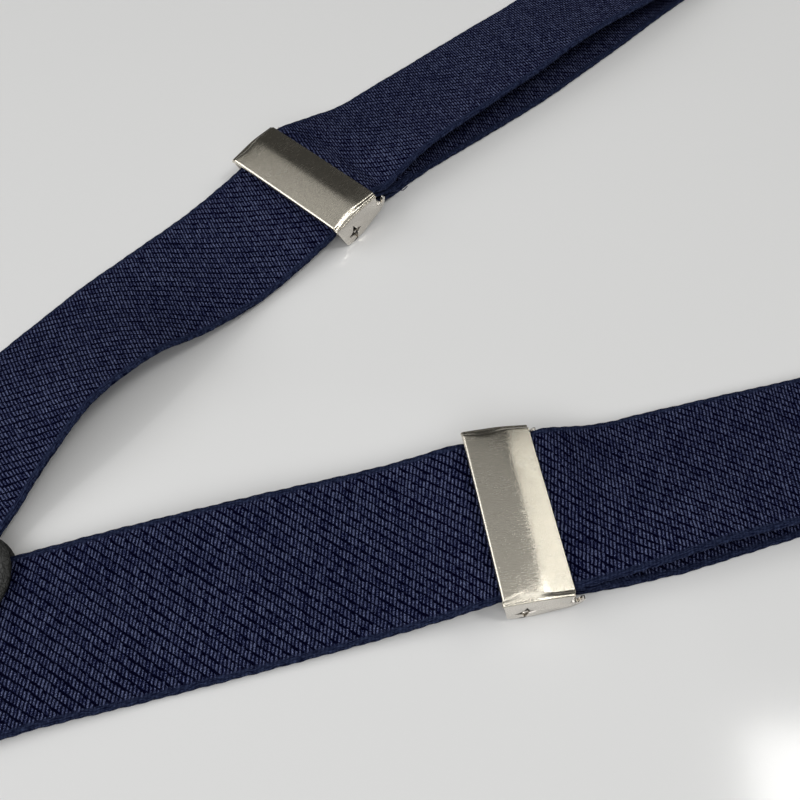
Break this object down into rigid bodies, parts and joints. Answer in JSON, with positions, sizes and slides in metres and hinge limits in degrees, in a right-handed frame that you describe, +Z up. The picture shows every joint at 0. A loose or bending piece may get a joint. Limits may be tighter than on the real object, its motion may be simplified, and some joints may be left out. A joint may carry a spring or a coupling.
{
  "type": "suspenders",
  "caption": "X-back dress suspenders: elastic straps crossed under a diamond leather patch, with flip-lock adjusters and lever clips.",
  "frame": {"origin": "centre of the leather patch's underside, on the plane that the suspenders lie on", "axes": "+X down the middle towards the two front clips, +Y to the left front strap, +Z up from the table"},
  "size_m": [0.8279, 0.3419, 0.0119],
  "materials": {
    "navy_elastic": "fine diagonal twill with smooth selvages",
    "patch_leather": "matte pebbled grain with a stitched edge bead",
    "cover_nickel": "warm satin nickel, brushed along the strap",
    "frame_nickel": "tumbled nickel plate",
    "grip_nylon": "ribbed moulded nylon"
  },
  "bodies": {
    "root": {"patch_front": "patch_leather", "patch_back": "patch_leather", "left_strap_rear": "navy_elastic", "left_strap_rear_end": "navy_elastic", "left_strap_front": "navy_elastic", "left_strap_top_run": "navy_elastic", "right_strap_rear": "navy_elastic", "right_strap_rear_end": "navy_elastic", "right_strap_front": "navy_elastic", "right_strap_top_run": "navy_elastic"},
    "left_turn": {"left_strap_turn": "navy_elastic", "left_strap_return": "navy_elastic"},
    "left_adjuster": {"left_adjuster_frame": "frame_nickel", "left_adjuster_support": "frame_nickel", "left_adjuster_sewn_bar": "frame_nickel", "left_strap_sewn_end": "navy_elastic"},
    "left_adjuster_cover": {"left_adjuster_cover": "cover_nickel", "left_adjuster_hinge_pins": "frame_nickel"},
    "right_turn": {"right_strap_turn": "navy_elastic", "right_strap_return": "navy_elastic"},
    "right_adjuster": {"right_adjuster_frame": "frame_nickel", "right_adjuster_support": "frame_nickel", "right_adjuster_sewn_bar": "frame_nickel", "right_strap_sewn_end": "navy_elastic"},
    "right_adjuster_cover": {"right_adjuster_cover": "cover_nickel", "right_adjuster_hinge_pins": "frame_nickel"},
    "front_left_clip": {"front_left_clip_back": "frame_nickel", "front_left_clip_strap_bar": "frame_nickel", "front_left_clip_back_pad": "grip_nylon"},
    "front_left_clip_lever": {"front_left_clip_lever": "cover_nickel", "front_left_clip_pin": "frame_nickel", "front_left_clip_cam_pad": "grip_nylon"},
    "front_right_clip": {"front_right_clip_back": "frame_nickel", "front_right_clip_strap_bar": "frame_nickel", "front_right_clip_back_pad": "grip_nylon"},
    "front_right_clip_lever": {"front_right_clip_lever": "cover_nickel", "front_right_clip_pin": "frame_nickel", "front_right_clip_cam_pad": "grip_nylon"},
    "rear_right_clip": {"rear_right_clip_back": "frame_nickel", "rear_right_clip_strap_bar": "frame_nickel", "rear_right_clip_back_pad": "grip_nylon"},
    "rear_right_clip_lever": {"rear_right_clip_lever": "cover_nickel", "rear_right_clip_pin": "frame_nickel", "rear_right_clip_cam_pad": "grip_nylon"},
    "rear_left_clip": {"rear_left_clip_back": "frame_nickel", "rear_left_clip_strap_bar": "frame_nickel", "rear_left_clip_back_pad": "grip_nylon"},
    "rear_left_clip_lever": {"rear_left_clip_lever": "cover_nickel", "rear_left_clip_pin": "frame_nickel", "rear_left_clip_cam_pad": "grip_nylon"}
  },
  "joints": [
    {"name": "left_strap_length", "type": "slide", "parent": "root", "child": "left_turn", "axis": [0.9945, 0.1045, 0], "range_m": [0, 0.33], "deforming": ["left_strap_top_run"]},
    {"name": "left_adjuster_slide", "type": "slide", "parent": "left_turn", "child": "left_adjuster", "axis": [0.9935, 0.1139, 0], "range_m": [0, 0.33], "deforming": ["left_strap_return"]},
    {"name": "left_adjuster_flip", "type": "hinge", "parent": "left_adjuster", "child": "left_adjuster_cover", "pos_m": [0.14635, 0.04718, 0.00643], "axis": [0.2368, -0.9715, 0], "range_deg": [0, 90]},
    {"name": "right_strap_length", "type": "slide", "parent": "root", "child": "right_turn", "axis": [0.9272, -0.3746, 0], "range_m": [0, 0.33], "deforming": ["right_strap_top_run"]},
    {"name": "right_adjuster_slide", "type": "slide", "parent": "right_turn", "child": "right_adjuster", "axis": [0.9272, -0.3746, 0], "range_m": [0, 0.33], "deforming": ["right_strap_return"]},
    {"name": "right_adjuster_flip", "type": "hinge", "parent": "right_adjuster", "child": "right_adjuster_cover", "pos_m": [0.13345, -0.05142, 0.00762], "axis": [-0.4258, -0.9048, 0], "range_deg": [0, 90]},
    {"name": "front_left_clip_swing", "type": "hinge", "parent": "left_turn", "child": "front_left_clip", "pos_m": [0.52316, 0.09082, 0.0024], "axis": [0.1045, -0.9945, 0], "range_deg": [0, 110]},
    {"name": "front_left_clip_flip", "type": "hinge", "parent": "front_left_clip", "child": "front_left_clip_lever", "pos_m": [0.56523, 0.09524, 0.006], "axis": [-0.1045, 0.9945, 0], "range_deg": [0, 95]},
    {"name": "front_right_clip_swing", "type": "hinge", "parent": "right_turn", "child": "front_right_clip", "pos_m": [0.48881, -0.19459, 0.0024], "axis": [-0.3746, -0.9272, 0], "range_deg": [0, 110]},
    {"name": "front_right_clip_flip", "type": "hinge", "parent": "front_right_clip", "child": "front_right_clip_lever", "pos_m": [0.52803, -0.21044, 0.006], "axis": [0.3746, 0.9272, 0], "range_deg": [0, 95]},
    {"name": "rear_right_clip_swing", "type": "hinge", "parent": "root", "child": "rear_right_clip", "pos_m": [-0.20555, -0.09152, 0.0024], "axis": [-0.4067, 0.9135, 0], "range_deg": [0, 110]},
    {"name": "rear_right_clip_flip", "type": "hinge", "parent": "rear_right_clip", "child": "rear_right_clip_lever", "pos_m": [-0.24419, -0.10872, 0.006], "axis": [0.4067, -0.9135, 0], "range_deg": [0, 95]},
    {"name": "rear_left_clip_swing", "type": "hinge", "parent": "root", "child": "rear_left_clip", "pos_m": [-0.20862, 0.08429, 0.0024], "axis": [0.3746, 0.9272, 0], "range_deg": [0, 110]},
    {"name": "rear_left_clip_flip", "type": "hinge", "parent": "rear_left_clip", "child": "rear_left_clip_lever", "pos_m": [-0.24784, 0.10013, 0.006], "axis": [-0.3746, -0.9272, 0], "range_deg": [0, 95]}
  ],
  "couplings": [
    {"joint": "left_adjuster_slide", "follows": "left_strap_length", "ratio": 1},
    {"joint": "right_adjuster_slide", "follows": "right_strap_length", "ratio": 1}
  ]
}
